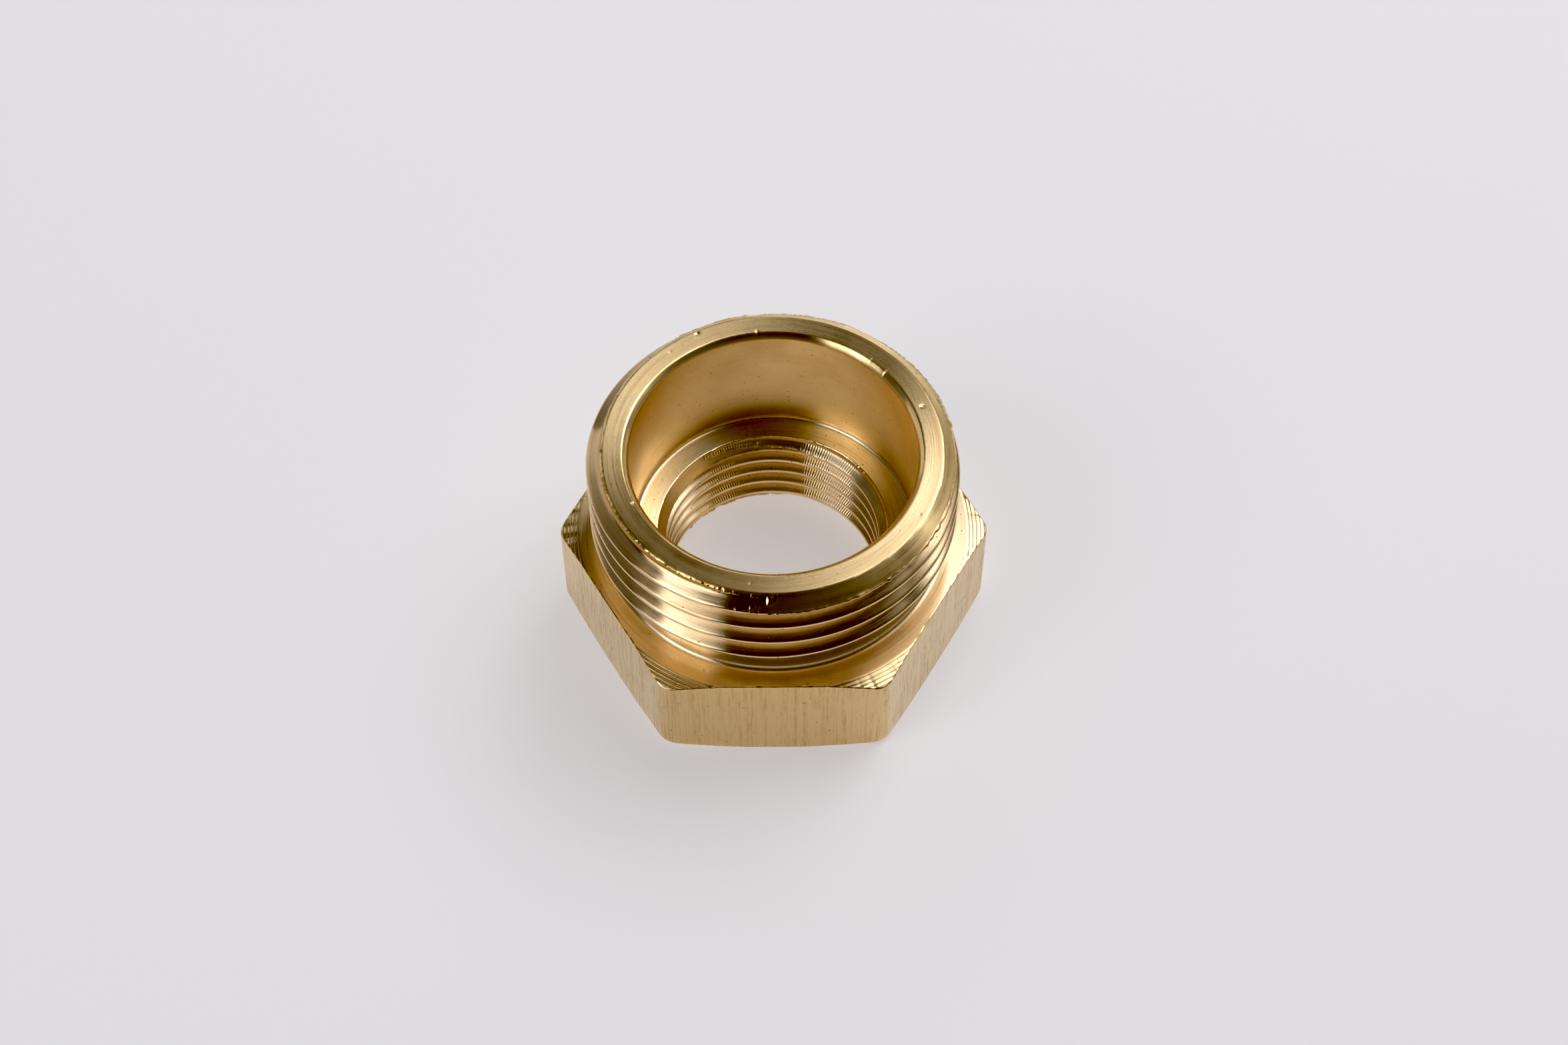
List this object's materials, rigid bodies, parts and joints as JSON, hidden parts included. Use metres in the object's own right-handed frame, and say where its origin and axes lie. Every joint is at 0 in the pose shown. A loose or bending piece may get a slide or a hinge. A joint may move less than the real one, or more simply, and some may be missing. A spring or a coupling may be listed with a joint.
{
  "type": "hexagon reducing bushing",
  "caption": "Hexagon reducing bushing turned from brass bar, with a male pipe thread on its neck, a wide smooth bore and a smaller female pipe thread.",
  "frame": {"origin": "centre of the hexagon's seat face, on the thread axis", "axes": "+Z along the thread axis from the hexagon to the neck's rim; +X through a corner of the hexagon; +Y square to a flat"},
  "size_m": [0.0308, 0.027, 0.0176],
  "materials": {
    "turned_brass": "as turned: fine concentric tool marks on the turned faces, drawn-bar streaks on the hexagon's flats"
  },
  "bodies": {
    "root": {"bushing_body": "turned_brass"}
  },
  "joints": []
}
